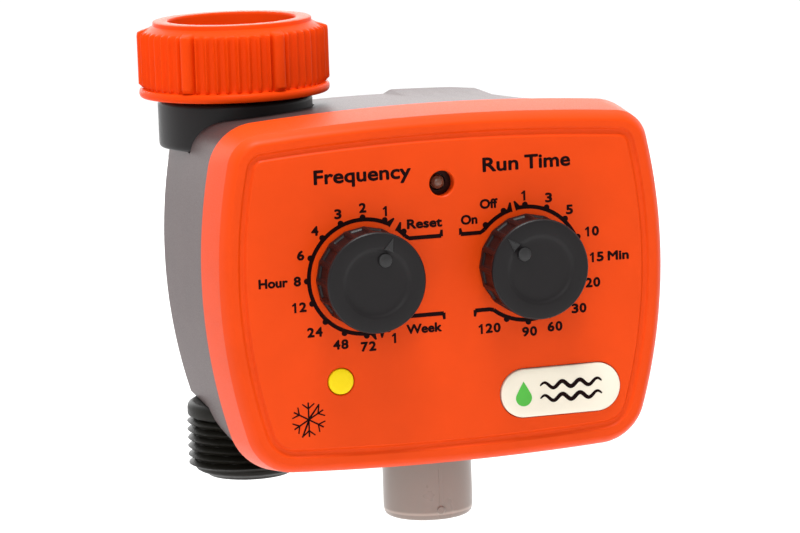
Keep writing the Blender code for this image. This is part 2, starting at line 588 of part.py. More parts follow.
def build():
    orange = material("orange_plastic", (0.85, 0.10, 0.015), 0.42)
    nut_orange = material("nut_orange_plastic", (0.78, 0.045, 0.01), 0.45)
    grey = material("grey_plastic", (0.21, 0.185, 0.17), 0.55)
    dark = material("dark_plastic", (0.030, 0.026, 0.024), 0.5)
    black = material("black_plastic", (0.018, 0.017, 0.017), 0.4)
    clear = material("clear_plastic", (0.42, 0.38, 0.34), 0.25)
    ivory = material("ivory_badge", (0.80, 0.74, 0.64), 0.35)
    yellow = material("yellow_plastic", (0.95, 0.75, 0.03), 0.4)
    white = material("white_plastic", (0.75, 0.74, 0.70), 0.4)
    rubber = material("black_rubber", (0.03, 0.03, 0.03), 0.8)
    steel = material("steel", (0.60, 0.60, 0.62), 0.3, 1.0)
    brass = material("brass", (0.72, 0.52, 0.22), 0.3, 1.0)
    board = material("board_green", (0.03, 0.20, 0.08), 0.5)
    cell_look = material("cell_wrap", (0.10, 0.12, 0.16), 0.35, 0.4)

    front_cover(orange)
    rear_housing(grey)
    housing_gasket(rubber)
    cover_screws(steel)
    dials(dark, steel, grey)
    front_details(ivory, yellow, clear, dark)
    circuit_board(board)
    hose_nut(nut_orange)
    water_way(black, dark, steel, rubber, white, brass)
    valve_drive(white, steel, brass, steel, rubber)
    battery_compartment(clear, grey, steel, rubber, cell_look)


clear_scene()
build()
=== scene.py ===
"""Looks of the drip irrigation timer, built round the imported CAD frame.

The visible pieces are modelled again with fine surfaces in the places that the frame gives: the cover
with its printed dial scales, the drafted casing, the ribbed swivel nut, the threaded outlet, the fluted
knobs, the badge, the lamp and the smoky battery cup. Every other CAD node stays and gets a procedural
material for its slot.

Lengths are in millimetres and turn into metres when a mesh is made. Two local frames are used, as in the CAD:
the panel frame (x right, y inwards, z up, midway between the dial axes) and the pipe frame (on the ball valve).
"""

import json
from math import acos, atan2, ceil, cos, pi, radians, sin, sqrt

import bmesh
import bpy
from mathutils import Matrix, Vector


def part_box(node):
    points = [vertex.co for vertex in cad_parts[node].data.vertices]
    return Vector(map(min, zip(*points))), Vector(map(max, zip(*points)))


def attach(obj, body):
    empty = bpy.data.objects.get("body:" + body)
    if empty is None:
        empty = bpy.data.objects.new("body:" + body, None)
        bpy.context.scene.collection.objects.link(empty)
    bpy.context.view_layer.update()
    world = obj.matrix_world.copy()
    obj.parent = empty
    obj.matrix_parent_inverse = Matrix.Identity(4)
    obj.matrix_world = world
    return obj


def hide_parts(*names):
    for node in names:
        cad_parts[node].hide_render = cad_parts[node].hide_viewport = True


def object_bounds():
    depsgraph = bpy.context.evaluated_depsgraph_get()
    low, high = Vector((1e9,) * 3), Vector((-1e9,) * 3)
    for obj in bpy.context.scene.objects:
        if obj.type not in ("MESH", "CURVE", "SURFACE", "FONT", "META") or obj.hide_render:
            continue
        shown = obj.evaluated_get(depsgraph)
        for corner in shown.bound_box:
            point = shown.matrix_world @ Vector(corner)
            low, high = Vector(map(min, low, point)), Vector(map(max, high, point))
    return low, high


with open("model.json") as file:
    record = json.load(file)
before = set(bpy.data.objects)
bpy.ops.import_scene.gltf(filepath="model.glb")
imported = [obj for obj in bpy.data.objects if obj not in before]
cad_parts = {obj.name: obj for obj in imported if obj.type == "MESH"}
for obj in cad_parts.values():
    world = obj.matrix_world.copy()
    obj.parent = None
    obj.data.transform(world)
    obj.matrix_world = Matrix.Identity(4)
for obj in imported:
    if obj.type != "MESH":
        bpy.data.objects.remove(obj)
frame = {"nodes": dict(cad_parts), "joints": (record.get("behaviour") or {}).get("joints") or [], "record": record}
cad_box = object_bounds()

MM = 0.001
JOINTS = {joint["name"]: joint for joint in frame["joints"]}


def joint_place(name):
    return Vector(JOINTS[name]["pos_m"])


LEFT_DIAL, RIGHT_DIAL = joint_place("frequency_turn"), joint_place("run_time_turn")
PIPE = joint_place("valve_turn")
PANEL = (LEFT_DIAL + RIGHT_DIAL) / 2
PANEL.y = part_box("front_cover")[0].y

# Casing outline in the panel's plane: four long arcs joined by corner circles
CENTRE_X, HALF_WIDTH = 0.2, 47.8
TOP_Z, BOTTOM_Z = 32.0, -40.9
TOP_RADIUS, BOTTOM_RADIUS, SIDE_RADIUS = 447.0, 600.0, 114.5
TOP_CORNER, BOTTOM_CORNER = 7.2, 10.3
BACK_CORNER, HOUSING_CORNER = 9.0, 7.5
LONG_ARC_STEPS, CORNER_STEPS = 32, 12
COVER_BACK_Y, COVER_OUTSET = 12.0, 1.4
HOUSING_FRONT_Y, HOUSING_BACK_Y, HOUSING_OUTSET, DRAFT = 12.3, 59.5, 0.8, 0.0526
BACK_ROUNDING, WALL = 3.5, 2.2
POSTS = ((38.0, 21.0), (36.0, -29.5), (-12.5, -33.5), (-8.5, 25.6))
SCREW_SEAT_Y = 17.2

DIAL_X = (RIGHT_DIAL - LEFT_DIAL).x / MM / 2
KNOB_FACE_RADIUS, KNOB_HEIGHT, GRIPS = 10.45, 9.2, 16
LED_AT, LED_HOLE_RADIUS = (-0.3, 18.0), 2.65
PLUG_AT, PLUG_RADIUS = (-23.3, -21.4), 2.7
BADGE_AT, BADGE_LENGTH, BADGE_HEIGHT, BADGE_PROUD = (24.1, -27.3), 26.2, 10.2, 0.74
BATTERY = Vector((3.15, 29.0, 0.0))
CUP_RADIUS, CUP_BORE, CUP_BOTTOM, CUP_TOP = 9.6, 8.1, -57.4, -8.0
PITCH = 1.814


# ---------------------------------------------------------------- meshes

def make_mesh(name, points, faces, at, sharp=32.0):
    """A mesh object from points in millimetres, placed at a point in metres, with its faces turned outwards."""
    mesh = bpy.data.meshes.new(name)
    mesh.from_pydata([tuple(c * MM for c in point) for point in points], [], faces)
    shape = bmesh.new()
    shape.from_mesh(mesh)
    bmesh.ops.recalc_face_normals(shape, faces=shape.faces)
    shape.to_mesh(mesh)
    shape.free()
    mesh.shade_smooth()
    mesh.set_sharp_from_angle(angle=radians(sharp))
    item = bpy.data.objects.new(name, mesh)
    item.location = Vector(at)
    bpy.context.scene.collection.objects.link(item)
    return item


def bake_modifiers(item, sharp=32.0):
    """Replaces an object's mesh by the one that its modifiers make."""
    bpy.context.view_layer.update()
    graph = bpy.context.evaluated_depsgraph_get()
    mesh = bpy.data.meshes.new_from_object(item.evaluated_get(graph))
    item.modifiers.clear()
    item.data = mesh
    mesh.shade_smooth()
    mesh.set_sharp_from_angle(angle=radians(sharp))


def combine(target, tools, operation):
    """Joins or cuts with helper objects, then removes them."""
    for tool in tools:
        step = target.modifiers.new(tool.name, "BOOLEAN")
        step.operation = operation
        step.solver = "EXACT"
        step.object = tool
    bake_modifiers(target)
    for tool in tools:
        bpy.data.objects.remove(tool)
    return target


def cut(target, *tools):
    return combine(target, tools, "DIFFERENCE")


def join(target, *tools):
    return combine(target, tools, "UNION")


def even_shading(item):
    """Keeps large flat faces flat where they meet small roundings."""
    step = item.modifiers.new("flat faces", "WEIGHTED_NORMAL")
    step.keep_sharp = True
    step.weight = 100
    return item


def loft(name, rings, at=PANEL):
    """A body through rings that all have the same number of points, closed by a face at each end."""
    count = len(rings[0])
    points = [point for ring in rings for point in ring]
    faces = [list(range(count)), list(range(len(points) - count, len(points)))]
    for start in range(0, len(points) - count, count):
        for i in range(count):
            following = (i + 1) % count
            faces.append((start + i, start + following, start + count + following, start + count + i))
    return make_mesh(name, points, faces, at)


def turned(name, profile, at, axis="Z", steps=96, relief=None):
    """A turned body from (radius, height) pairs; relief(angle, radius, height) adds to the radius.

    A profile that starts and ends on the axis gives a solid body. Any other is closed into a ring.
    """
    points, rows = [], []
    for radius, height in profile:
        turns = steps if radius > 0 else 1
        rows.append(range(len(points), len(points) + turns))
        for i in range(turns):
            angle = 2 * pi * i / steps
            reach = radius + (relief(angle, radius, height) if relief and radius > 0 else 0.0)
            across, along = reach * cos(angle), reach * sin(angle)
            points.append((across, along, height) if axis == "Z" else (across, height, along))
    pairs = list(zip(rows, rows[1:]))
    if profile[0][0] > 0:
        pairs.append((rows[-1], rows[0]))
    faces = []
    for lower, upper in pairs:
        for i in range(steps):
            corners = []
            for row, index in ((lower, i), (lower, i + 1), (upper, i + 1), (upper, i)):
                corner = row[index % len(row)]
                if corner not in corners:
                    corners.append(corner)
            if len(corners) > 2:
                faces.append(corners)
    return make_mesh(name, points, faces, at)


def cylinder(name, radius, low, high, at, axis="Z", steps=48):
    return turned(name, [(0, low), (radius, low), (radius, high), (0, high)], at, axis, steps)


def plate(name, outline_points, near, far, at=PANEL):
    """A flat plate: an outline of (x, z) points between two depths y."""
    return loft(name, [[(x, y, z) for x, z in outline_points] for y in (near, far)], at)


def box(name, low, high, at=PANEL):
    corners = [(low[0], low[2]), (high[0], low[2]), (high[0], high[2]), (low[0], high[2])]
    return plate(name, corners, low[1], high[1], at)


def panel_at(x, z, y=0.0):
    return PANEL + Vector((x, y, z)) * MM


def eased(profile, radius, steps=4):
    """The profile with its inner corners rounded; radius is cut back where a side is short."""
    result = [profile[0]]
    for before, corner, after in zip(profile, profile[1:], profile[2:]):
        corner = Vector(corner)
        to_before, to_after = Vector(before) - corner, Vector(after) - corner
        reach = min(radius, 0.45 * to_before.length, 0.45 * to_after.length)
        start = corner + to_before.normalized() * reach
        end = corner + to_after.normalized() * reach
        for i in range(steps + 1):
            t = i / steps
            point = (1 - t) ** 2 * start + 2 * t * (1 - t) * corner + t**2 * end
            result.append((max(point.x, 0.0), point.y))
    result.append(profile[-1])
    return result


def smooth(value):
    """An eased step from 0 to 1."""
    value = min(1.0, max(0.0, value))
    return value * value * (3 - 2 * value)


# ---------------------------------------------------------------- outlines

def arc(centre, radius, start, end, steps):
    """Points along an arc, without its last one."""
    angles = [start + (end - start) * i / steps for i in range(steps)]
    return [(centre[0] + radius * cos(a), centre[1] + radius * sin(a)) for a in angles]


def meeting_point(centre_a, radius_a, centre_b, radius_b):
    """The right-hand point where two circles cross."""
    across, up = centre_b[0] - centre_a[0], centre_b[1] - centre_a[1]
    apart = sqrt(across**2 + up**2)
    along = acos((radius_a**2 + apart**2 - radius_b**2) / (2 * radius_a * apart))
    heading = atan2(up, across)
    return max(
        (centre_a[0] + radius_a * cos(heading + turn), centre_a[1] + radius_a * sin(heading + turn))
        for turn in (along, -along)
    )


def direction(start, end):
    return atan2(end[1] - start[1], end[0] - start[0])


def outline(inset, top_corner=TOP_CORNER):
    """The casing's outline moved inwards by inset, as (x, z) points, clockwise from the middle of the top."""
    top = (0.0, TOP_Z - TOP_RADIUS)
    side = (HALF_WIDTH - SIDE_RADIUS, 0.0)
    bottom = (0.0, BOTTOM_Z + BOTTOM_RADIUS)
    upper = meeting_point(top, TOP_RADIUS - top_corner, side, SIDE_RADIUS - top_corner)
    lower = meeting_point(bottom, BOTTOM_RADIUS - BOTTOM_CORNER, side, SIDE_RADIUS - BOTTOM_CORNER)
    top_end, side_start = direction(top, upper), direction(side, upper)
    side_end, bottom_start = direction(side, lower), direction(bottom, lower)
    half = LONG_ARC_STEPS // 2
    right = arc(top, TOP_RADIUS - inset, pi / 2, top_end, half)
    right += arc(upper, top_corner - inset, top_end, side_start, CORNER_STEPS)
    right += arc(side, SIDE_RADIUS - inset, side_start, side_end, LONG_ARC_STEPS)
    right += arc(lower, BOTTOM_CORNER - inset, side_end, bottom_start, CORNER_STEPS)
    right += arc(bottom, BOTTOM_RADIUS - inset, bottom_start, -pi / 2, half)
    right.append((0.0, BOTTOM_Z + inset))
    left = [(-x, z) for x, z in reversed(right[1:-1])]
    return [(CENTRE_X + x, z) for x, z in right + left]


def ring_at(y, inset, top_corner=TOP_CORNER):
    return [(x, y, z) for x, z in outline(inset, top_corner)]


def top_height(x, inset):
    """Height of the outline's top arc at x."""
    return TOP_Z - TOP_RADIUS + sqrt((TOP_RADIUS - inset) ** 2 - (x - CENTRE_X) ** 2)


def housing_inset(y):
    return DRAFT * (y - HOUSING_FRONT_Y) - HOUSING_OUTSET


def stadium(x, z, length, height, steps=24):
    """A slot-shaped outline of (x, z) points about a centre."""
    radius, reach = height / 2, (length - height) / 2
    right = arc((x + reach, z), radius, -pi / 2, pi / 2, steps) + [(x + reach, z + radius)]
    left = arc((x - reach, z), radius, pi / 2, 3 * pi / 2, steps) + [(x - reach, z - radius)]
    return right + left


# ---------------------------------------------------------------- materials

def new_material(name):
    made = bpy.data.materials.new(name)
    made.use_nodes = True
    return made, made.node_tree.nodes, made.node_tree.links


def noise(nodes, links, where, scale, detail=3.0):
    node = nodes.new("ShaderNodeTexNoise")
    node.inputs["Scale"].default_value = scale
    node.inputs["Detail"].default_value = detail
    links.new(where, node.inputs["Vector"])
    return node.outputs["Fac"]


def ramp(nodes, links, value, low, high, start=0.3, end=0.7):
    """Turns a value into a colour between two, or into a grey between two numbers."""
    node = nodes.new("ShaderNodeValToRGB")
    node.color_ramp.elements[0].position, node.color_ramp.elements[1].position = start, end
    for element, colour in zip(node.color_ramp.elements, (low, high)):
        element.color = (*colour, 1.0) if isinstance(colour, tuple) else (colour, colour, colour, 1.0)
    links.new(value, node.inputs["Fac"])
    return node.outputs["Color"]


def scaled(colour, factor):
    return tuple(min(1.0, c * factor) for c in colour)


def moulded(name, colour, roughness=0.45, grain=0.012, grain_size=0.25, mottle=0.06, **sockets):
    """A surface with faint cloudy colour, a fine moulded or blasted grain and an uneven gloss.

    grain is the depth of the bumps and grain_size their width, in millimetres.
    """
    made, nodes, links = new_material(name)
    shader = nodes["Principled BSDF"]
    where = nodes.new("ShaderNodeTexCoord").outputs["Object"]
    cloud = noise(nodes, links, where, 90.0)
    fine = noise(nodes, links, where, 1.0 / (grain_size * MM), 2.0)
    links.new(ramp(nodes, links, cloud, scaled(colour, 1 - mottle), scaled(colour, 1 + mottle)),
              shader.inputs["Base Color"])
    links.new(ramp(nodes, links, fine, roughness - 0.05, roughness + 0.07), shader.inputs["Roughness"])
    if grain > 0:
        bump = nodes.new("ShaderNodeBump")
        bump.inputs["Distance"].default_value = grain * MM
        bump.inputs["Strength"].default_value = 0.6
        links.new(fine, bump.inputs["Height"])
        links.new(bump.outputs["Normal"], shader.inputs["Normal"])
    for socket, value in sockets.items():
        shader.inputs[socket.replace("_", " ")].default_value = value
    return made


def brushed(name, colour, roughness, axis_scale):
    """Metal with fine scratches drawn out along one direction."""
    made, nodes, links = new_material(name)
    shader = nodes["Principled BSDF"]
    where = nodes.new("ShaderNodeTexCoord").outputs["Object"]
    stretch = nodes.new("ShaderNodeMapping")
    stretch.inputs["Scale"].default_value = axis_scale
    links.new(where, stretch.inputs["Vector"])
    lines = noise(nodes, links, stretch.outputs["Vector"], 60.0, 6.0)
    tint = ramp(nodes, links, lines, scaled(colour, 0.86), scaled(colour, 1.08))
    links.new(tint, shader.inputs["Base Color"])
    links.new(ramp(nodes, links, lines, roughness - 0.06, roughness + 0.1), shader.inputs["Roughness"])
    bump = nodes.new("ShaderNodeBump")
    bump.inputs["Distance"].default_value = 0.006 * MM
    links.new(lines, bump.inputs["Height"])
    links.new(bump.outputs["Normal"], shader.inputs["Normal"])
    shader.inputs["Metallic"].default_value = 1.0
    return made


def board_material():
    """Green solder mask over a faint grid of tracks."""
    made, nodes, links = new_material("board_green")
    shader = nodes["Principled BSDF"]
    where = nodes.new("ShaderNodeTexCoord").outputs["Object"]
    tracks = nodes.new("ShaderNodeTexBrick")
    tracks.inputs["Scale"].default_value = 160.0
    tracks.inputs["Mortar Size"].default_value = 0.03
    tracks.inputs["Color1"].default_value = (0.02, 0.16, 0.06, 1.0)
    tracks.inputs["Color2"].default_value = (0.025, 0.19, 0.07, 1.0)
    tracks.inputs["Mortar"].default_value = (0.06, 0.30, 0.12, 1.0)
    turn = nodes.new("ShaderNodeMapping")
    turn.inputs["Rotation"].default_value = (pi / 2, 0.0, 0.0)
    links.new(where, turn.inputs["Vector"])
    links.new(turn.outputs["Vector"], tracks.inputs["Vector"])
    links.new(tracks.outputs["Color"], shader.inputs["Base Color"])
    shader.inputs["Roughness"].default_value = 0.35
    return made


def cell_material(metal_from, metal_to):
    """A printed battery wrap with a bright metal band at the top; both heights are in metres."""
    made, nodes, links = new_material("cell_wrap")
    shader = nodes["Principled BSDF"]
    where = nodes.new("ShaderNodeTexCoord").outputs["Object"]
    split = nodes.new("ShaderNodeSeparateXYZ")
    links.new(where, split.inputs["Vector"])
    height = nodes.new("ShaderNodeMapRange")
    height.inputs["From Min"].default_value = metal_from
    height.inputs["From Max"].default_value = metal_to
    links.new(split.outputs["Z"], height.inputs["Value"])
    links.new(ramp(nodes, links, height.outputs["Result"], (0.30, 0.31, 0.33), (0.62, 0.60, 0.55), 0.49, 0.51),
              shader.inputs["Base Color"])
    scuff = noise(nodes, links, where, 400.0)
    links.new(ramp(nodes, links, scuff, 0.28, 0.42), shader.inputs["Roughness"])
    shader.inputs["Metallic"].default_value = 0.5
    return made


CUP_RAMP = 20 * MM
# Painted highlight: a pale band on the cup's rounded bottom edge, placed as shares of CUP_RAMP above the bottom.
PAINTED_RIM_HIGHLIGHT = (0.062, 0.072, 0.085, 0.10)


def cup_material(bottom):
    """Smoky plastic, darker towards the bottom, with a painted highlight: a pale band on the rounded edge where
    the cup's floor meets its wall; bottom is its lower end in metres.

    PAINTED_RIM_HIGHLIGHT says where the painted highlight fades in and out, as shares of CUP_RAMP above the
    bottom.
    """
    made, nodes, links = new_material("cup_plastic")
    shader = nodes["Principled BSDF"]
    where = nodes.new("ShaderNodeTexCoord").outputs["Object"]
    split = nodes.new("ShaderNodeSeparateXYZ")
    links.new(where, split.inputs["Vector"])
    height = nodes.new("ShaderNodeMapRange")
    height.inputs["From Min"].default_value = bottom
    height.inputs["From Max"].default_value = bottom + CUP_RAMP
    links.new(split.outputs["Z"], height.inputs["Value"])
    node = nodes.new("ShaderNodeValToRGB")
    stops = node.color_ramp.elements
    stops[0].position, stops[1].position = 0.0, 1.0
    # The smoky colour grows darker towards the bottom and has a painted highlight, a pale band on the rounded
    # bottom edge.
    for position in PAINTED_RIM_HIGHLIGHT:
        stops.new(position)
    for stop, factor in zip(stops, (0.92, 0.95, 1.55, 1.45, 0.95, 1.08)):
        stop.color = (*scaled(CUP_COLOUR, factor), 1.0)
    links.new(height.outputs["Result"], node.inputs["Fac"])
    cloud = noise(nodes, links, where, 120.0)
    blend = nodes.new("ShaderNodeMix")
    blend.data_type, blend.blend_type = "RGBA", "MULTIPLY"
    blend.inputs[0].default_value = 1.0
    links.new(node.outputs["Color"], blend.inputs[6])
    links.new(ramp(nodes, links, cloud, 0.97, 1.0, 0.2, 0.8), blend.inputs[7])
    links.new(blend.outputs[2], shader.inputs["Base Color"])
    links.new(ramp(nodes, links, cloud, 0.24, 0.36), shader.inputs["Roughness"])
    return made


ORANGE, NUT_ORANGE, YELLOW = (0.70, 0.055, 0.002), (0.72, 0.050, 0.002), (0.84, 0.62, 0.004)
GREY, DARK, BLACK = (0.062, 0.036, 0.035), (0.006, 0.0045, 0.005), (0.0075, 0.0065, 0.0045)
CUP_COLOUR, CLEAR, IVORY, WHITE = (0.27, 0.21, 0.18), (0.60, 0.53, 0.48), (0.80, 0.73, 0.60), (0.72, 0.71, 0.67)
LOOKS = {
    "orange_plastic": moulded("orange_plastic", ORANGE, 0.40, 0.010, 0.22, 0.035, Specular_IOR_Level=0.12),
    "nut_orange_plastic": moulded("nut_orange_plastic", NUT_ORANGE, 0.36, 0.006, 0.3, 0.04,
                                  Specular_IOR_Level=0.05),
    "grey_plastic": moulded("grey_plastic", GREY, 0.45, 0.016, 0.22, 0.07, Specular_IOR_Level=0.18),
    "dark_plastic": moulded("dark_plastic", DARK, 0.42, 0.008, 0.2, 0.12, Specular_IOR_Level=0.26),
    "black_plastic": moulded("black_plastic", BLACK, 0.45, 0.008, 0.3, 0.15, Specular_IOR_Level=0.14),
    "clear_plastic": moulded("clear_plastic", CLEAR, 0.3, 0.0, 0.6, 0.05, Transmission_Weight=0.4, IOR=1.35),
    "ivory_badge": moulded("ivory_badge", IVORY, 0.35, 0.003, 0.5, 0.02, Specular_IOR_Level=0.3),
    "yellow_plastic": moulded("yellow_plastic", YELLOW, 0.4, 0.006, 0.3, 0.02, Specular_IOR_Level=0.14),
    "white_plastic": moulded("white_plastic", WHITE, 0.38, 0.006, 0.4, 0.03),
    "black_rubber": moulded("black_rubber", (0.018, 0.018, 0.018), 0.75, 0.02, 0.3, 0.15),
    "steel": brushed("steel", (0.60, 0.60, 0.61), 0.28, (1.0, 1.0, 14.0)),
    "brass": brushed("brass", (0.74, 0.53, 0.23), 0.28, (14.0, 14.0, 1.0)),
    "board_green": board_material(),
}
PRINT = moulded("print_ink", (0.008, 0.0012, 0.0015), 0.5, 0.0, 0.3, 0.1, Specular_IOR_Level=0.05)
# Painted highlight: the knob's pointer and dot get a lighter grey than the knob, standing in for light on their
# edges.
KNOB_PAINTED_HIGHLIGHT = moulded("knob_mark_painted_highlight", (0.013, 0.0125, 0.013), 0.4, 0.0, 0.2, 0.1, Specular_IOR_Level=0.4)
LEAF = moulded("badge_green", (0.06, 0.42, 0.03), 0.4, 0.0, 0.4, 0.1)


def settle(item, body, slot, *nodes, look=None):
    """Gives a piece its material (its slot's look unless another look is given), puts it under its body and hides
    the CAD nodes that it stands for.
    """
    item.data.materials.clear()
    item.data.materials.append(look or LOOKS[slot])
    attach(item, body)
    if nodes:
        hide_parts(*nodes)
    return item


# ---------------------------------------------------------------- casing

def cover():
    """The orange cover: a drafted side wall, a shoulder, a flat rim, a groove and the panel."""
    inside = [(2.4, 3.2, TOP_CORNER), (3.0, 2.5, TOP_CORNER), (COVER_BACK_Y, WALL - COVER_OUTSET, BACK_CORNER)]
    back_edge = [(COVER_BACK_Y, 0.35 - COVER_OUTSET), (11.9, 0.1 - COVER_OUTSET), (11.65, -COVER_OUTSET)]
    shoulder = [
        (2.45, 0.0), (2.25, 0.08), (1.8, 0.31), (1.35, 0.56), (0.95, 0.82), (0.6, 1.1), (0.32, 1.4),
        (0.13, 1.67), (0.03, 1.9), (0.0, 2.1),
    ]
    groove = [
        (0.0, 3.25), (0.03, 3.4), (0.14, 3.55), (0.42, 3.8), (0.52, 3.95), (0.55, 4.1), (0.55, 4.6),
        (0.52, 4.74), (0.42, 4.88), (0.14, 5.12), (0.03, 5.27), (0.0, 5.42),
    ]
    rings = [ring_at(*row) for row in inside]
    rings += [ring_at(y, inset, BACK_CORNER) for y, inset in back_edge]
    rings += [ring_at(y, inset) for y, inset in shoulder + groove]
    item = loft("cover", rings)
    holes = [cylinder(f"shaft_hole_{side}", 3.6, -1.0, 4.0, panel_at(side * DIAL_X, 0), "Y")
             for side in (-1, 1)]
    for name, place, radius in (("led", LED_AT, LED_HOLE_RADIUS), ("plug", PLUG_AT, PLUG_RADIUS + 0.15)):
        profile = [(0, -1.0), (radius + 1.2, -1.0), (radius, 0.2), (radius, 4.0), (0, 4.0)]
        holes.append(turned(f"{name}_hole", profile, panel_at(*place), "Y"))
    recess = stadium(*BADGE_AT, BADGE_LENGTH + 0.4, BADGE_HEIGHT + 0.4)
    holes.append(plate("badge_recess", recess, -1.0, 0.9))
    cut(item, *holes)
    settle(even_shading(item), "housing", "orange_plastic", "front_cover")


def notch(name, radius, low, high, flare=0.0):
    """A notch about the pipe that also takes away the casing's corner to the left of and behind it."""
    foot = radius + flare * (high - low)
    round_part = turned(name, [(0, low), (foot, low), (radius, high), (0, high)], PIPE, steps=96)
    return join(round_part, box(f"{name}_side", (-30.0, -0.5, low), (0.4, 40.0, high), PIPE))


def housing_shell(name, front, back, inset, rounding):
    straight = back - rounding
    profile = [(front, housing_inset(front) + inset), (straight, housing_inset(straight) + inset)]
    steps = 8
    for i in range(1, steps + 1):
        turn = pi / 2 * i / steps
        profile.append((straight + rounding * sin(turn), profile[1][1] + rounding * (1 - cos(turn))))
    rings = [[sagged(*point) for point in ring_at(y, moved, HOUSING_CORNER)] for y, moved in profile]
    return loft(name, rings)


def sagged(x, y, z):
    """Lowers the casing's top to the right of its pad, towards the back."""
    if z < 15:
        return x, y, z
    return x, y, z - 1.8 * smooth((x - 23) / 10) * smooth((y - 16) / 14)


PAD_START_Y, PAD_RISE = 30.0, 0.8
PAD_LINE = (
    (4.0, -0.4), (4.6, -0.1), (6.0, 0.85), (6.6, 1.0), (10, 1.0), (15, 1.0), (20, 1.0), (25.5, 1.0), (26.4, 0.9),
    (30.2, 0.0), (31.0, -0.4),
)


def casing():
    """The grey tub with its pad, its notches beside the pipe and the four screw wells at the back."""
    item = housing_shell("casing", HOUSING_FRONT_Y, HOUSING_BACK_Y, 0.0, BACK_ROUNDING)
    pad = []
    for y in (PAD_START_Y, 57.0, 57.3):
        skin, sunk = housing_inset(y), y == PAD_START_Y
        line = [(x, y, top_height(x, skin) + (-1.0 if sunk else PAD_RISE * rise)) for x, rise in PAD_LINE]
        pad.append([sagged(*point) for point in line] + [(31.0, y, 24.0), (4.0, y, 24.0)])
    join(item, loft("pad", pad))
    hollow = housing_shell("hollow", HOUSING_FRONT_Y - 2.0, HOUSING_BACK_Y - WALL, WALL, 2.0)
    cut(hollow, notch("low_wall", 15.6, -60.0, -30.0, 0.6), notch("high_wall", 18.4, 21.7, 60.0))
    cut(item, hollow)
    cut(item, notch("outlet_notch", 14.0, -60.0, -31.6, 0.6), notch("collar_notch", 16.8, 23.3, 70.0))
    battery = PANEL + BATTERY * MM
    cut(item,
        cylinder("valve_space", 11.5, -20.6, 30.0, PIPE), cylinder("spout_space", 9.5, -40.0, 0.0, PIPE),
        turned("mouth", [(0, -60), (11.5, -43.5), (9.95, -41.5), (9.95, -30), (0, -30)], battery, steps=96))
    join(item, *[cylinder(f"post_{x:.0f}", 3.3, 14.8, 58.0, panel_at(x, z), "Y", 32) for x, z in POSTS])
    wells = []
    for x, z in POSTS:
        well = [(0, 10.0), (1.5, 10.0), (1.5, SCREW_SEAT_Y), (2.6, SCREW_SEAT_Y)]
        well += [(2.6, 59.1), (3.6, 60.1), (0, 60.1)]
        wells.append(turned(f"well_{x:.0f}", well, panel_at(x, z), "Y", 32))
    cut(item, *wells)
    settle(even_shading(item), "housing", "grey_plastic", "rear_housing")


def screws():
    """Four cover screws with a cross recess."""
    profile = [(0, 5.0), (1.2, 5.6), (1.2, 17.5), (2.3, 17.5), (2.3, 18.8), (2.1, 19.2), (1.6, 19.4), (0, 19.4)]
    for number, (x, z) in enumerate(POSTS, 1):
        at = panel_at(x, z)
        item = turned(f"screw_{number}", profile, at, "Y", 32)
        cut(item, box("slot_a", (-1.5, 18.4, -0.25), (1.5, 21.0, 0.25), at),
            box("slot_b", (-0.25, 18.4, -1.5), (0.25, 21.0, 1.5), at))
        settle(item, "housing", "steel", f"cover_screw_{number}")


# ---------------------------------------------------------------- printing on the panel

INK_NEAR, INK_FAR = -0.03, 0.05
STROKE, SCALE_RADIUS, DOT_RADIUS = 0.84, 11.85, 12.3
DIGIT_PITCH, BOLD_COPIES, CAPITAL_HEIGHT = 1.74, 8, 0.73


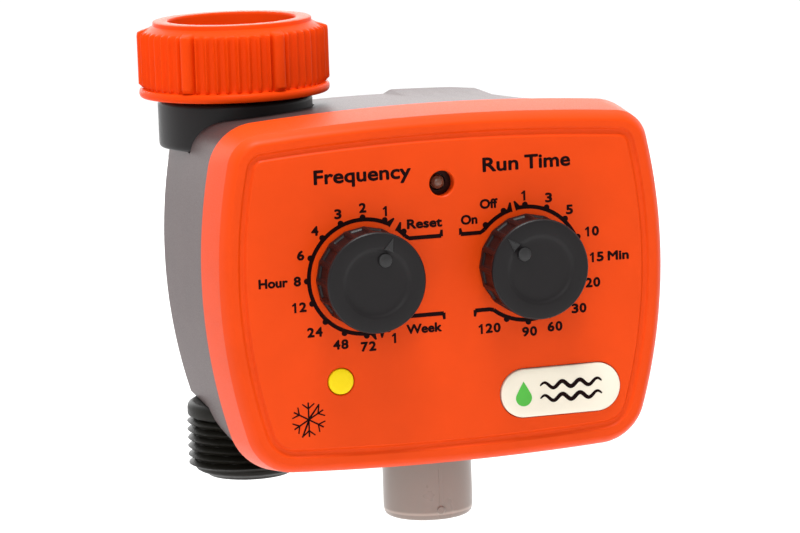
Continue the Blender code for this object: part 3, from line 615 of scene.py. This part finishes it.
class Print:
    """Gathers flat shapes on the panel into one mesh of thin ink."""

    def __init__(self):
        self.points, self.faces = [], []

    def slab(self, outline_points, lift=0.0):
        """A thin slab from an outline of (x, z) points, closed all round."""
        count, start = len(outline_points), len(self.points)
        for y in (INK_NEAR - lift, INK_FAR):
            self.points += [(x, y, z) for x, z in outline_points]
        self.faces += [tuple(range(start, start + count)), tuple(range(start + count, start + 2 * count))]
        for i in range(count):
            following = (i + 1) % count
            self.faces.append((start + i, start + following, start + count + following, start + count + i))

    def path(self, route, widths, lift=0.0):
        """A stroke along a route; widths are at each of its points."""
        left, right = [], []
        for i, point in enumerate(route):
            before, after = route[max(i - 1, 0)], route[min(i + 1, len(route) - 1)]
            heading = direction(before, after)
            half = widths[i] / 2
            left.append((point[0] - half * sin(heading), point[1] + half * cos(heading)))
            right.append((point[0] + half * sin(heading), point[1] - half * cos(heading)))
        self.slab(left + right[::-1], lift)

    def line(self, start, end, width=STROKE, end_width=None, lift=0.0):
        self.path([start, end], [width, end_width or width], lift)

    def disc(self, x, z, radius, lift=0.0):
        self.slab(arc((x, z), radius, 0, 2 * pi, 24), lift)

    def text(self, words, x, z, width, height=2.15, bold=0.12):
        """Words centred on a point, capitals of the given height, squeezed or stretched to width.

        The plain font is thin, so copies moved by the distance bold all round make its strokes heavier.
        """
        curve = bpy.data.curves.new(words, "FONT")
        curve.body = words
        curve.resolution_u = 4
        holder = bpy.data.objects.new(words, curve)
        bpy.context.scene.collection.objects.link(holder)
        bpy.context.view_layer.update()
        graph = bpy.context.evaluated_depsgraph_get()
        mesh = bpy.data.meshes.new_from_object(holder.evaluated_get(graph))
        bpy.data.objects.remove(holder)
        shape = bmesh.new()
        shape.from_mesh(mesh)
        bmesh.ops.remove_doubles(shape, verts=shape.verts, dist=1e-5)
        verts = list(shape.verts)
        left, right = min(v.co.x for v in verts), max(v.co.x for v in verts)
        base = max(v.co.y for v in verts) - CAPITAL_HEIGHT
        across, tall = (width - 2 * bold) / (right - left), (height - 2 * bold) / CAPITAL_HEIGHT
        count = len(verts)
        for copy in range(BOLD_COPIES):
            start, turn = len(self.points), 2 * pi * copy / BOLD_COPIES
            middle_x, middle_z = x + bold * cos(turn), z + bold * sin(turn)
            for y in (INK_NEAR - 0.001 * copy, INK_FAR):
                for v in verts:
                    self.points.append((middle_x + (v.co.x - (left + right) / 2) * across, y,
                                        middle_z + (v.co.y - base - CAPITAL_HEIGHT / 2) * tall))
            index = {v: start + i for i, v in enumerate(verts)}
            for face in shape.faces:
                near = [index[v] for v in face.verts]
                self.faces += [tuple(near), tuple(i + count for i in reversed(near))]
            for edge in shape.edges:
                if len(edge.link_faces) == 1:
                    a, b = (index[v] for v in edge.verts)
                    self.faces.append((a, b, b + count, a + count))
        shape.free()

    def number(self, digits, x, z):
        """A number centred on a point; its ones get a flag, which the plain font lacks."""
        for i, digit in enumerate(digits):
            place = x + DIGIT_PITCH * (i - (len(digits) - 1) / 2)
            if digit == "1":
                self.line((place + 0.12, z - 1.05), (place + 0.12, z + 1.05), 0.46)
                self.line((place - 0.5, z + 0.42), (place + 0.16, z + 0.88), 0.34, 0.4, 0.004)
            else:
                self.text(digit, place, z, 1.56)


def polar(centre, radius, angle):
    """A point at an angle clockwise from up, in degrees."""
    return (centre[0] + radius * sin(radians(angle)), centre[1] + radius * cos(radians(angle)))


def ring_stroke(ink, centre, start, end, radius=SCALE_RADIUS, flare_start=False, flare_end=False):
    """A thick arc between two angles, with a tapered spike turned outwards at a flared end."""
    steps = max(2, ceil(abs(end - start) / 3))
    angles = [start + (end - start) * i / steps for i in range(steps + 1)]
    ink.path([polar(centre, radius, a) for a in angles], [STROKE] * len(angles))
    for flared, angle, inwards in ((flare_start, start, end - start), (flare_end, end, start - end)):
        if flared:
            way = 1 if inwards > 0 else -1
            foot = polar(centre, radius - 0.3, angle + way * 2.6)
            tip = polar(centre, radius + 1.55, angle - way * 0.5)
            ink.line(foot, tip, 1.35, 0.35, 0.004)


def dial_scale(ink, centre, marks, numbers, words):
    for angle in marks:
        ink.disc(*polar(centre, DOT_RADIUS, angle), 0.62, 0.008)
    for digits, x, z in numbers:
        ink.number(digits, x, z)
    for label, x, z, width in words:
        ink.text(label, x, z, width)


def snowflake(ink, x, z):
    """A frost warning sign: six forked arms and a slanting stroke."""
    for arm in range(6):
        heading = 60.0 * arm
        tip, fork = polar((x, z), 3.6, heading), polar((x, z), 2.3, heading)
        ink.line((x, z), tip, 0.32, 0.32, 0.002 * arm)
        for side in (-21.0, 21.0):
            ink.line(fork, polar((x, z), 3.55, heading + side), 0.32, 0.26, 0.003)
    ink.line((x + 2.3, z + 3.05), (x - 0.2, z - 0.2), 0.3, 0.42, 0.006)
    ink.line((x + 0.1, z + 0.1), (x - 1.5, z - 3.6), 0.42, 0.3, 0.006)


def printing():
    ink = Print()
    left, right = (-DIAL_X, 0.0), (DIAL_X, 0.0)
    ink.text("Frequency", -17.2, 21.05, 20.7, 3.2, 0.13)
    ink.text("Run", 12.45, 21.1, 7.8, 3.2, 0.13)
    ink.text("Time", 22.65, 21.1, 10.0, 3.2, 0.13)
    dial_scale(
        ink, left, [45 - 22.5 * i for i in range(12)],
        [("1", -12.6, 13.2), ("2", -17.4, 14.2), ("3", -22.7, 13.3), ("4", -27.7, 10.2), ("6", -30.9, 5.4),
         ("8", -31.8, 0.1), ("12", -31.7, -5.3), ("24", -28.5, -10.7), ("48", -23.1, -13.7),
         ("72", -17.2, -14.6),
         ("1", -11.6, -13.3)],
        [("Hour", -36.9, 0.1, 6.2), ("Reset", -4.3, 10.05, 7.6), ("Week", -5.15, -11.8, 7.65)],
    )
    dial_scale(
        ink, right, [-45 + 22.5 * i for i in range(12)],
        [("1", 17.3, 14.2), ("3", 22.7, 13.35), ("5", 27.2, 10.5), ("10", 31.9, 5.6), ("15", 32.8, 0.1),
         ("20", 31.9, -5.2), ("30", 28.7, -10.4), ("60", 23.3, -13.8), ("90", 17.7, -14.4),
         ("120", 8.9, -13.0)],
        [("On", 5.3, 10.05, 3.6), ("Off", 9.65, 13.05, 3.9), ("Min", 37.65, 0.1, 4.7)],
    )
    ring_stroke(ink, left, 29.5, -188.0, flare_start=True, flare_end=True)
    ring_stroke(ink, left, 37.5, 49.0, flare_start=True)
    ring_stroke(ink, left, -194.5, -219.0, flare_start=True)
    ring_stroke(ink, right, -49.0, -14.5, flare_end=True)
    ring_stroke(ink, right, -9.5, 219.0, flare_start=True)
    leaders = (
        (left, 1, 7.2, 49.0, 16.7), (left, 1, -9.0, 141.0, 16.7),
        (right, -1, 7.2, -49.0, 14.1), (right, -1, -9.0, -141.0, 11.5),
    )
    for centre, side, level, start, reach in leaders:
        upward = 1 if level > 0 else -1
        foot = polar(centre, SCALE_RADIUS, start)
        end = (centre[0] + side * reach, level)
        ink.path([foot, (foot[0] + side * 0.9, level), end], [STROKE] * 3, 0.004)
        ink.line((end[0] - side * 0.05, level - 0.1 * upward), (end[0] + side * 0.1, level + 1.25 * upward),
                 STROKE, 0.5, 0.006)
    snowflake(ink, -30.5, -28.7)
    item = make_mesh("scale_print", ink.points, ink.faces, PANEL)
    settle(item, "housing", "black_plastic", look=PRINT)


# ---------------------------------------------------------------- front details

def knob(name, side, pointer, body, node):
    """A hollow knob: a round front disc, a skirt of flat grips, a dished face, a raised pointer and a dot."""
    face = -KNOB_HEIGHT
    rim = KNOB_FACE_RADIUS

    def grips(angle, radius, height):
        """Turns the round skirt into flats with a shallow pocket in each."""
        if not 9.6 < radius < 11 or height < face + 1.35:
            return 0.0
        share = (angle * GRIPS / (2 * pi)) % 1.0 - 0.5
        flat = radius * (cos(pi / GRIPS) / cos(share * 2 * pi / GRIPS) - 1)
        pocket = smooth((0.38 - abs(share)) / 0.07)
        pocket *= smooth((height - face - 1.75) / 0.4) * smooth((-1.5 - height) / 0.5)
        return flat - 0.40 * pocket

    dish = [(r, face + 0.40 * (1 - smooth((r - 6.3) / 1.1)))
            for r in (0, 2.0, 4.0, 5.4, 6.3, 6.5, 6.7, 6.9, 7.1, 7.3, 7.4)]
    outside = [
        (8.6, face), (9.7, face + 0.02), (rim - 0.30, face + 0.08), (rim - 0.1, face + 0.26), (rim, face + 0.5),
        (rim, face + 1.0), (rim - 0.05, face + 1.2), (10.25, face + 1.3), (10.22, face + 1.4),
    ]
    outside += [(10.22 + 0.30 * i / 32, face + 1.6 + (KNOB_HEIGHT - 2.2) * i / 32) for i in range(33)]
    outside += [(10.5, -0.42)]
    inside = [(9.3, -0.4), (9.0, -7.2), (5.2, -7.2), (5.2, -0.7), (3.3, -0.6), (3.3, -6.8), (0, -6.8)]
    at = panel_at(side * DIAL_X, 0)
    item = turned(name, dish + outside + inside, at, "Y", 384, grips)
    turn = radians(90 - pointer)
    corners = []
    for along, across in ((9.75, 0.0), (6.95, 1.0), (6.95, -1.0)):
        corners.append((along * cos(turn) - across * sin(turn), along * sin(turn) + across * cos(turn)))
    middle = sum(x for x, _ in corners) / 3, sum(z for _, z in corners) / 3
    shrunk = [(middle[0] + (x - middle[0]) * 0.74, middle[1] + (z - middle[1]) * 0.74) for x, z in corners]
    rings = [[(x, y, z) for x, z in ring]
             for ring, y in ((corners, face + 1.0), (corners, face - 0.14), (shrunk, face - 0.34))]
    dot = [(0, face + 1.0), (1.38, face + 1.0), (1.38, face - 0.12), (1.33, face - 0.24), (1.2, face - 0.32),
           (0, face - 0.34)]
    dot_at = at + Vector((4.85 * cos(turn), 0, 4.85 * sin(turn))) * MM
    settle(even_shading(item), body, "dark_plastic", node)
    # The pointer and dot carry the painted highlight material, which is lighter than the knob itself.
    settle(loft(f"{name}_arrow", rings, at), body, "dark_plastic", look=KNOB_PAINTED_HIGHLIGHT)
    settle(turned(f"{name}_dot", dot, dot_at, "Y", 40), body, "dark_plastic", look=KNOB_PAINTED_HIGHLIGHT)


def badge():
    """A domed stadium, carrying a plain water drop and a ripple instead of any mark."""
    rows = [
        (0.6, 0.0), (-0.25, 0.0), (-0.42, 0.08), (-0.52, 0.25), (-0.6, 0.55), (-0.66, 0.9), (-0.7, 1.4),
        (-0.72, 2.2),
    ]
    rings = []
    for y, shrink in rows:
        ring = stadium(*BADGE_AT, BADGE_LENGTH - 2 * shrink, BADGE_HEIGHT - 2 * shrink)
        rings.append([(x, y, z) for x, z in ring])
    settle(even_shading(loft("badge_plate", rings)), "housing", "ivory_badge", "badge")

    x, z = BADGE_AT[0] - 8.3, BADGE_AT[1] - 0.4
    outline_points = arc((x, z - 0.5), 1.75, radians(-215), radians(35), 28)
    outline_points += [(x + 1.43, z + 0.52), (x + 0.75, z + 1.75), (x, z + 3.0), (x - 0.75, z + 1.75)]
    drop = Print()
    drop.slab(outline_points)
    item = make_mesh("badge_drop", [(a, y - BADGE_PROUD, b) for a, y, b in drop.points], drop.faces, PANEL)
    settle(item, "housing", "ivory_badge", look=LEAF)

    waves = Print()
    for row in (-1.35, 1.35):
        count = 60
        route = []
        for i in range(count + 1):
            across = BADGE_AT[0] - 4.7 + 13.6 * i / count
            route.append((across, BADGE_AT[1] + row + 0.62 * sin(2 * pi * 3.5 * i / count)))
        widths = [0.25 + 0.65 * sin(pi * i / count) ** 0.5 for i in range(count + 1)]
        waves.path(route, widths)
    item = make_mesh("badge_ripple", [(a, y - BADGE_PROUD, b) for a, y, b in waves.points], waves.faces, PANEL)
    settle(item, "housing", "black_plastic", look=PRINT)


def lamp_and_plug():
    disc = [(0, -0.12), (1.6, -0.12), (2.35, -0.1), (2.58, 0.0), (PLUG_RADIUS, 0.2), (PLUG_RADIUS, 0.7)]
    disc.append((0, 0.7))
    settle(turned("yellow_disc", disc, panel_at(*PLUG_AT), "Y", 64), "housing", "yellow_plastic", "yellow_plug")
    at = panel_at(-0.5, 18.05)
    ring = eased([(1.75, 2.9), (3.9, 2.8), (3.9, 5.0), (1.75, 5.0)], 0.2)
    look = moulded("lamp_well", (0.028, 0.004, 0.002), 0.35, 0.0, 0.3, 0.1, Specular_IOR_Level=0.1)
    settle(turned("lamp_holder", ring, at, "Y", 64), "housing", "dark_plastic", "led_holder", look=look)
    dome = [(1.5 * sin(pi / 2 * i / 10), 2.7 - 1.35 * cos(pi / 2 * i / 10)) for i in range(11)]
    bulb = dome + [(1.5, 5.4), (1.9, 5.4), (1.9, 6.3), (0, 6.3)]
    look = moulded("lamp_lens", (0.30, 0.13, 0.08), 0.12, 0.001, 0.5, 0.05, Transmission_Weight=0.5)
    settle(turned("lamp", bulb, at, "Y", 48), "housing", "clear_plastic", "led", look=look)


# ---------------------------------------------------------------- water way

def nut():
    """The swivel nut: a rounded flange, fine ribs between six lugs, a cone, the mouth and the inner thread."""
    lug_turns = [radians(-14.5 + 60 * i) for i in range(6)]
    low, high = 36.3, 47.9
    lug_height, lug_half_width, rib_height, ribs = 1.5, 1.5, 0.85, 54

    def grip(angle, radius, height):
        if radius < 17.0:
            if radius < 13.0 and 37.0 < height < 46.0:
                phase = (height / PITCH - angle / (2 * pi)) % 1.0
                return 0.6 * (1 - 2 * abs(phase - 0.5)) - 0.05
            return 0.0
        if height < low - 0.3 or radius > 19.4:
            return 0.0
        near = min(lug_turns, key=lambda turn: abs((angle - turn + pi) % (2 * pi) - pi))
        away = abs((angle - near + pi) % (2 * pi) - pi)
        across = away * 19.6
        foot = smooth((height - low + 0.3) / 0.6)
        if across < lug_half_width:
            dome = sqrt(max(0.0, 1 - (across / lug_half_width) ** 2.4))
            return lug_height * dome * foot * sqrt(smooth((high + 1.0 - height) / 1.3))
        turns = away / (2 * pi / ribs)
        ridge = (0.5 + 0.5 * cos(2 * pi * turns)) ** 2.6 if across > 1.7 else 0.0
        return rib_height * ridge * foot * smooth((high + 0.45 - height) / 0.7)

    heights = [low + (high - low) * i / 16 for i in range(17)]
    profile = [(11.2, 34.3), (19.3, 34.3)]
    profile += [(19.75 + 0.55 * sin(t), 35.2 - 0.9 * cos(t)) for t in [pi * i / 12 for i in range(1, 12)]]
    profile += [(19.35, 36.1), (18.9, 36.2)]
    profile += [(18.85, z) for z in heights]
    profile += [(18.82, 48.0), (18.75, 48.15), (18.6, 48.3), (18.35, 48.46), (18.0, 48.66), (17.6, 48.88)]
    profile += [(17.2, 49.1), (16.95, 49.3), (16.9, 49.5), (16.9, 49.9), (16.8, 50.1), (16.6, 50.2)]
    profile += [(15.0, 50.2), (13.95, 50.2), (13.75, 50.12), (13.62, 49.9), (13.6, 49.6), (13.6, 47.4)]
    profile.append((12.5, 46.4))
    thread_rows = 60
    profile += [(12.5, 46.0 - 9.0 * i / thread_rows) for i in range(1, thread_rows)]
    profile += [(12.5, 36.1), (11.2, 36.1)]
    item = turned("nut", profile, PIPE, steps=720, relief=grip)
    settle(even_shading(item), "hose_nut", "nut_orange_plastic", "hose_nut")


def spout():
    """The outlet: a hidden spigot, a rounded shoulder, a plain collar and the male thread."""
    top, bottom = -35.0, -46.1

    def thread(angle, radius, height):
        if radius < 11 or not bottom <= height <= top:
            return 0.0
        phase = (height / PITCH - angle / (2 * pi)) % 1.0
        crest = max(0.0, 1 - 2 * abs(phase - 0.5)) ** 0.85
        fade = min(1.0, (top - height) / 0.5, (height - bottom) / 0.7)
        return 1.42 * crest * max(0.0, fade)

    rows = 88
    profile = [
        (6.0, -8.9), (8.6, -8.9), (8.6, -13.5), (7.5, -13.5), (7.5, -15.5), (8.6, -15.5), (8.6, -31.9),
        (11.5, -31.9), (12.1, -32.0), (12.6, -32.3), (12.9, -32.75), (13.0, -33.3), (13.0, -34.6),
        (12.9, -34.8), (12.2, -34.95),
    ]
    profile += [(11.78, top - (top - bottom) * i / rows) for i in range(rows + 1)]
    profile += [(11.7, -46.4), (11.5, -46.7), (11.0, -47.0), (10.2, -47.3), (9.7, -47.55), (9.3, -47.9),
                (9.0, -48.12), (8.6, -48.2), (7.3, -48.2), (7.0, -48.0), (7.0, -32.0), (6.0, -31.0)]
    item = turned("spout", profile, PIPE, steps=288, relief=thread)
    settle(item, "housing", "black_plastic", "outlet_spout")


def pipe_pieces():
    """The collar under the nut and what shows inside the nut's mouth."""
    collar = [(11.2, 23.6), (15.5, 23.42), (16.3, 23.7), (16.5, 24.4), (16.5, 32.9), (16.1, 33.6), (11.2, 33.6)]
    collar = eased(collar, 0.8)
    settle(turned("collar", collar, PIPE, steps=128), "housing", "dark_plastic", "inlet_collar")
    tail = eased([(6.0, 8.9), (8.6, 8.9), (8.6, 21.7), (10.8, 21.7), (10.8, 36.5), (11.7, 36.5), (11.7, 38.3),
                  (6.0, 38.3)], 0.2)
    settle(turned("tail", tail, PIPE, steps=96), "housing", "black_plastic", "inlet_tail")
    washer = eased([(8.1, 38.6), (11.7, 38.6), (11.7, 41.0), (8.1, 41.0)], 0.5)
    washer.append(washer.pop(0))
    settle(turned("washer", washer, PIPE, steps=96), "housing", "black_rubber", "tap_washer")


def battery():
    """The smoky cup with its rib, the seal, the cell and the spring."""
    at = PANEL + BATTERY * MM
    outer = [(0, CUP_BOTTOM), (8.2, CUP_BOTTOM), (9.25, CUP_BOTTOM + 0.45), (CUP_RADIUS, CUP_BOTTOM + 1.7)]
    outer += [(CUP_RADIUS, -36.6), (8.9, -36.6), (8.9, -34.2), (CUP_RADIUS, -34.2), (CUP_RADIUS, CUP_TOP)]
    outer += [(CUP_BORE, CUP_TOP), (CUP_BORE, CUP_BOTTOM + 2.4), (7.2, CUP_BOTTOM + 1.6), (0, CUP_BOTTOM + 1.6)]
    outer = eased(outer, 0.8, 5)
    item = turned("cup", outer, at, steps=128)
    rib = [[(x, -9.3 - out, z) for x, out in ((-0.45, 0.0), (-0.3, 0.38), (0.3, 0.38), (0.45, 0.0))]
           for z in (-54.8, -46.0)]
    look = cup_material(CUP_BOTTOM * MM)
    settle(item, "battery_tray", "clear_plastic", "battery_cup", look=look)
    settle(loft("cup_rib", rib, at), "battery_tray", "clear_plastic", look=look)
    dot = [(0, -9.95), (0.7, -9.9), (0.9, -9.7), (0.95, -9.2), (0, -9.0)]
    settle(turned("cup_dot", dot, at + Vector((0, 0, -54.9)) * MM, "Y", 32), "battery_tray", "clear_plastic",
           look=cup_material(0.0))
    seal = [(9.5 + 0.45 * cos(t), -35.4 + 0.6 * sin(t)) for t in [2 * pi * i / 16 for i in range(16)]]
    settle(turned("cup_seal_ring", seal, at), "battery_tray", "black_rubber", "cup_seal")
    low, high = -51.6, -2.1
    cell = eased([(0, low), (6.7, low), (7.1, low + 0.4), (7.1, high - 0.4), (6.7, high), (2.7, high),
                  (2.7, high + 1.0), (0, high + 1.0)], 0.4)
    settle(turned("cell", cell, at, steps=96), "battery_tray", "cell_wrap", "battery_cell",
           look=cell_material(-14.2 * MM, -14.0 * MM))
    sides, steps, turns, radius, wire = 10, 48, 2, 4.5, 0.5
    rings = []
    for i in range(turns * steps + 1):
        angle = 2 * pi * i / steps
        height = CUP_BOTTOM + 2.5 + (low - 0.9 - CUP_BOTTOM - 2.5) * i / (turns * steps)
        out = Vector((cos(angle), sin(angle), 0.0))
        around = [2 * pi * side / sides for side in range(sides)]
        rings.append([out * (radius + wire * cos(t)) + Vector((0, 0, height + wire * sin(t))) for t in around])
    settle(loft("spring", rings, at), "battery_tray", "steel", "cell_spring")


def plain_nodes():
    """CAD nodes that stay as they are get the material of their slot."""
    slots = {part["node"]: part["material_slot"] for part in frame["record"]["subparts"]}
    for name, node in frame["nodes"].items():
        if not node.hide_render:
            node.data.materials.clear()
            node.data.materials.append(LOOKS[slots[name]])


# ---------------------------------------------------------------- studio

def camera():
    """A long lens from the left, slightly above and slightly rolled."""
    yaw, lift, roll = radians(16.5), radians(9.2), radians(-2.0)
    distance, across, up = 0.824, -0.0095, 0.0007
    back = Vector((-sin(yaw) * cos(lift), -cos(yaw) * cos(lift), sin(lift)))
    level = (-back).cross(Vector((0, 0, 1))).normalized()
    upright = level.cross(-back)
    right = cos(roll) * level + sin(roll) * upright
    above = -sin(roll) * level + cos(roll) * upright
    data = bpy.data.cameras.new("camera")
    data.lens, data.sensor_width = 180.0, 36.0
    data.clip_start, data.clip_end = 0.05, 20.0
    item = bpy.data.objects.new("camera", data)
    place = PANEL + back * distance + right * across + above * up
    turn = Matrix((right, above, back)).transposed().to_4x4()
    item.matrix_world = Matrix.Translation(place) @ turn
    bpy.context.scene.collection.objects.link(item)
    bpy.context.scene.camera = item


def area_light(name, place, target, size, power):
    data = bpy.data.lights.new(name, "AREA")
    data.shape = "DISK"
    data.size = size
    data.energy = power
    item = bpy.data.objects.new(name, data)
    item.location = place
    item.rotation_mode = "QUATERNION"
    item.rotation_quaternion = (Vector(target) - Vector(place)).to_track_quat("-Z", "Y")
    bpy.context.scene.collection.objects.link(item)


FRONT_LIGHT, BACK_LIGHT = 0.45, 1.75
FLOOR_DROP = 0.065


def studio():
    """A pale floor below the hanging timer, a white surround, brighter behind it, and three soft lights."""
    world = bpy.data.worlds.new("surround")
    world.use_nodes = True
    nodes, links = world.node_tree.nodes, world.node_tree.links
    split = nodes.new("ShaderNodeSeparateXYZ")
    links.new(nodes.new("ShaderNodeTexCoord").outputs["Generated"], split.inputs["Vector"])
    depth = nodes.new("ShaderNodeMapRange")
    limits = {"From Min": -1.0, "From Max": 1.0, "To Min": FRONT_LIGHT, "To Max": BACK_LIGHT}
    for socket, value in limits.items():
        depth.inputs[socket].default_value = value
    links.new(split.outputs["Y"], depth.inputs["Value"])
    links.new(depth.outputs["Result"], nodes["Background"].inputs["Strength"])
    nodes["Background"].inputs["Color"].default_value = (1.0, 1.0, 1.0, 1.0)
    bpy.context.scene.world = world
    bpy.context.scene.view_settings.view_transform = "Standard"
    level = cad_box[0].z - FLOOR_DROP
    count, reach = 64, 6.0
    points = [(x, y, 0.0) for x, y in arc((0.0, 0.0), reach / MM, 0.0, 2 * pi, count)]
    floor = make_mesh("floor", points, [list(range(count))], (0.0, 0.0, level))
    floor.data.materials.append(moulded("pale_floor", (0.93, 0.93, 0.93), 0.8, 0.0, 2.0, 0.01))
    middle = PANEL + Vector((0.0, 0.03, 0.0))
    area_light("top_light", middle + Vector((-0.05, -0.16, 0.63)), middle, 0.22, 3.6)
    area_light("back_light", middle + Vector((0.10, 1.00, 0.24)), middle, 0.9, 3.5)
    area_light("front_light", middle + Vector((-0.45, -1.0, 0.5)), middle, 0.6, 2.0)


camera()
cover()
casing()
screws()
printing()
knob("frequency_dial_knob", -1, 22.5, "frequency_dial", "frequency_knob")
knob("run_time_dial_knob", 1, -45.0, "run_time_dial", "run_time_knob")
badge()
lamp_and_plug()
nut()
spout()
pipe_pieces()
battery()
plain_nodes()
studio()
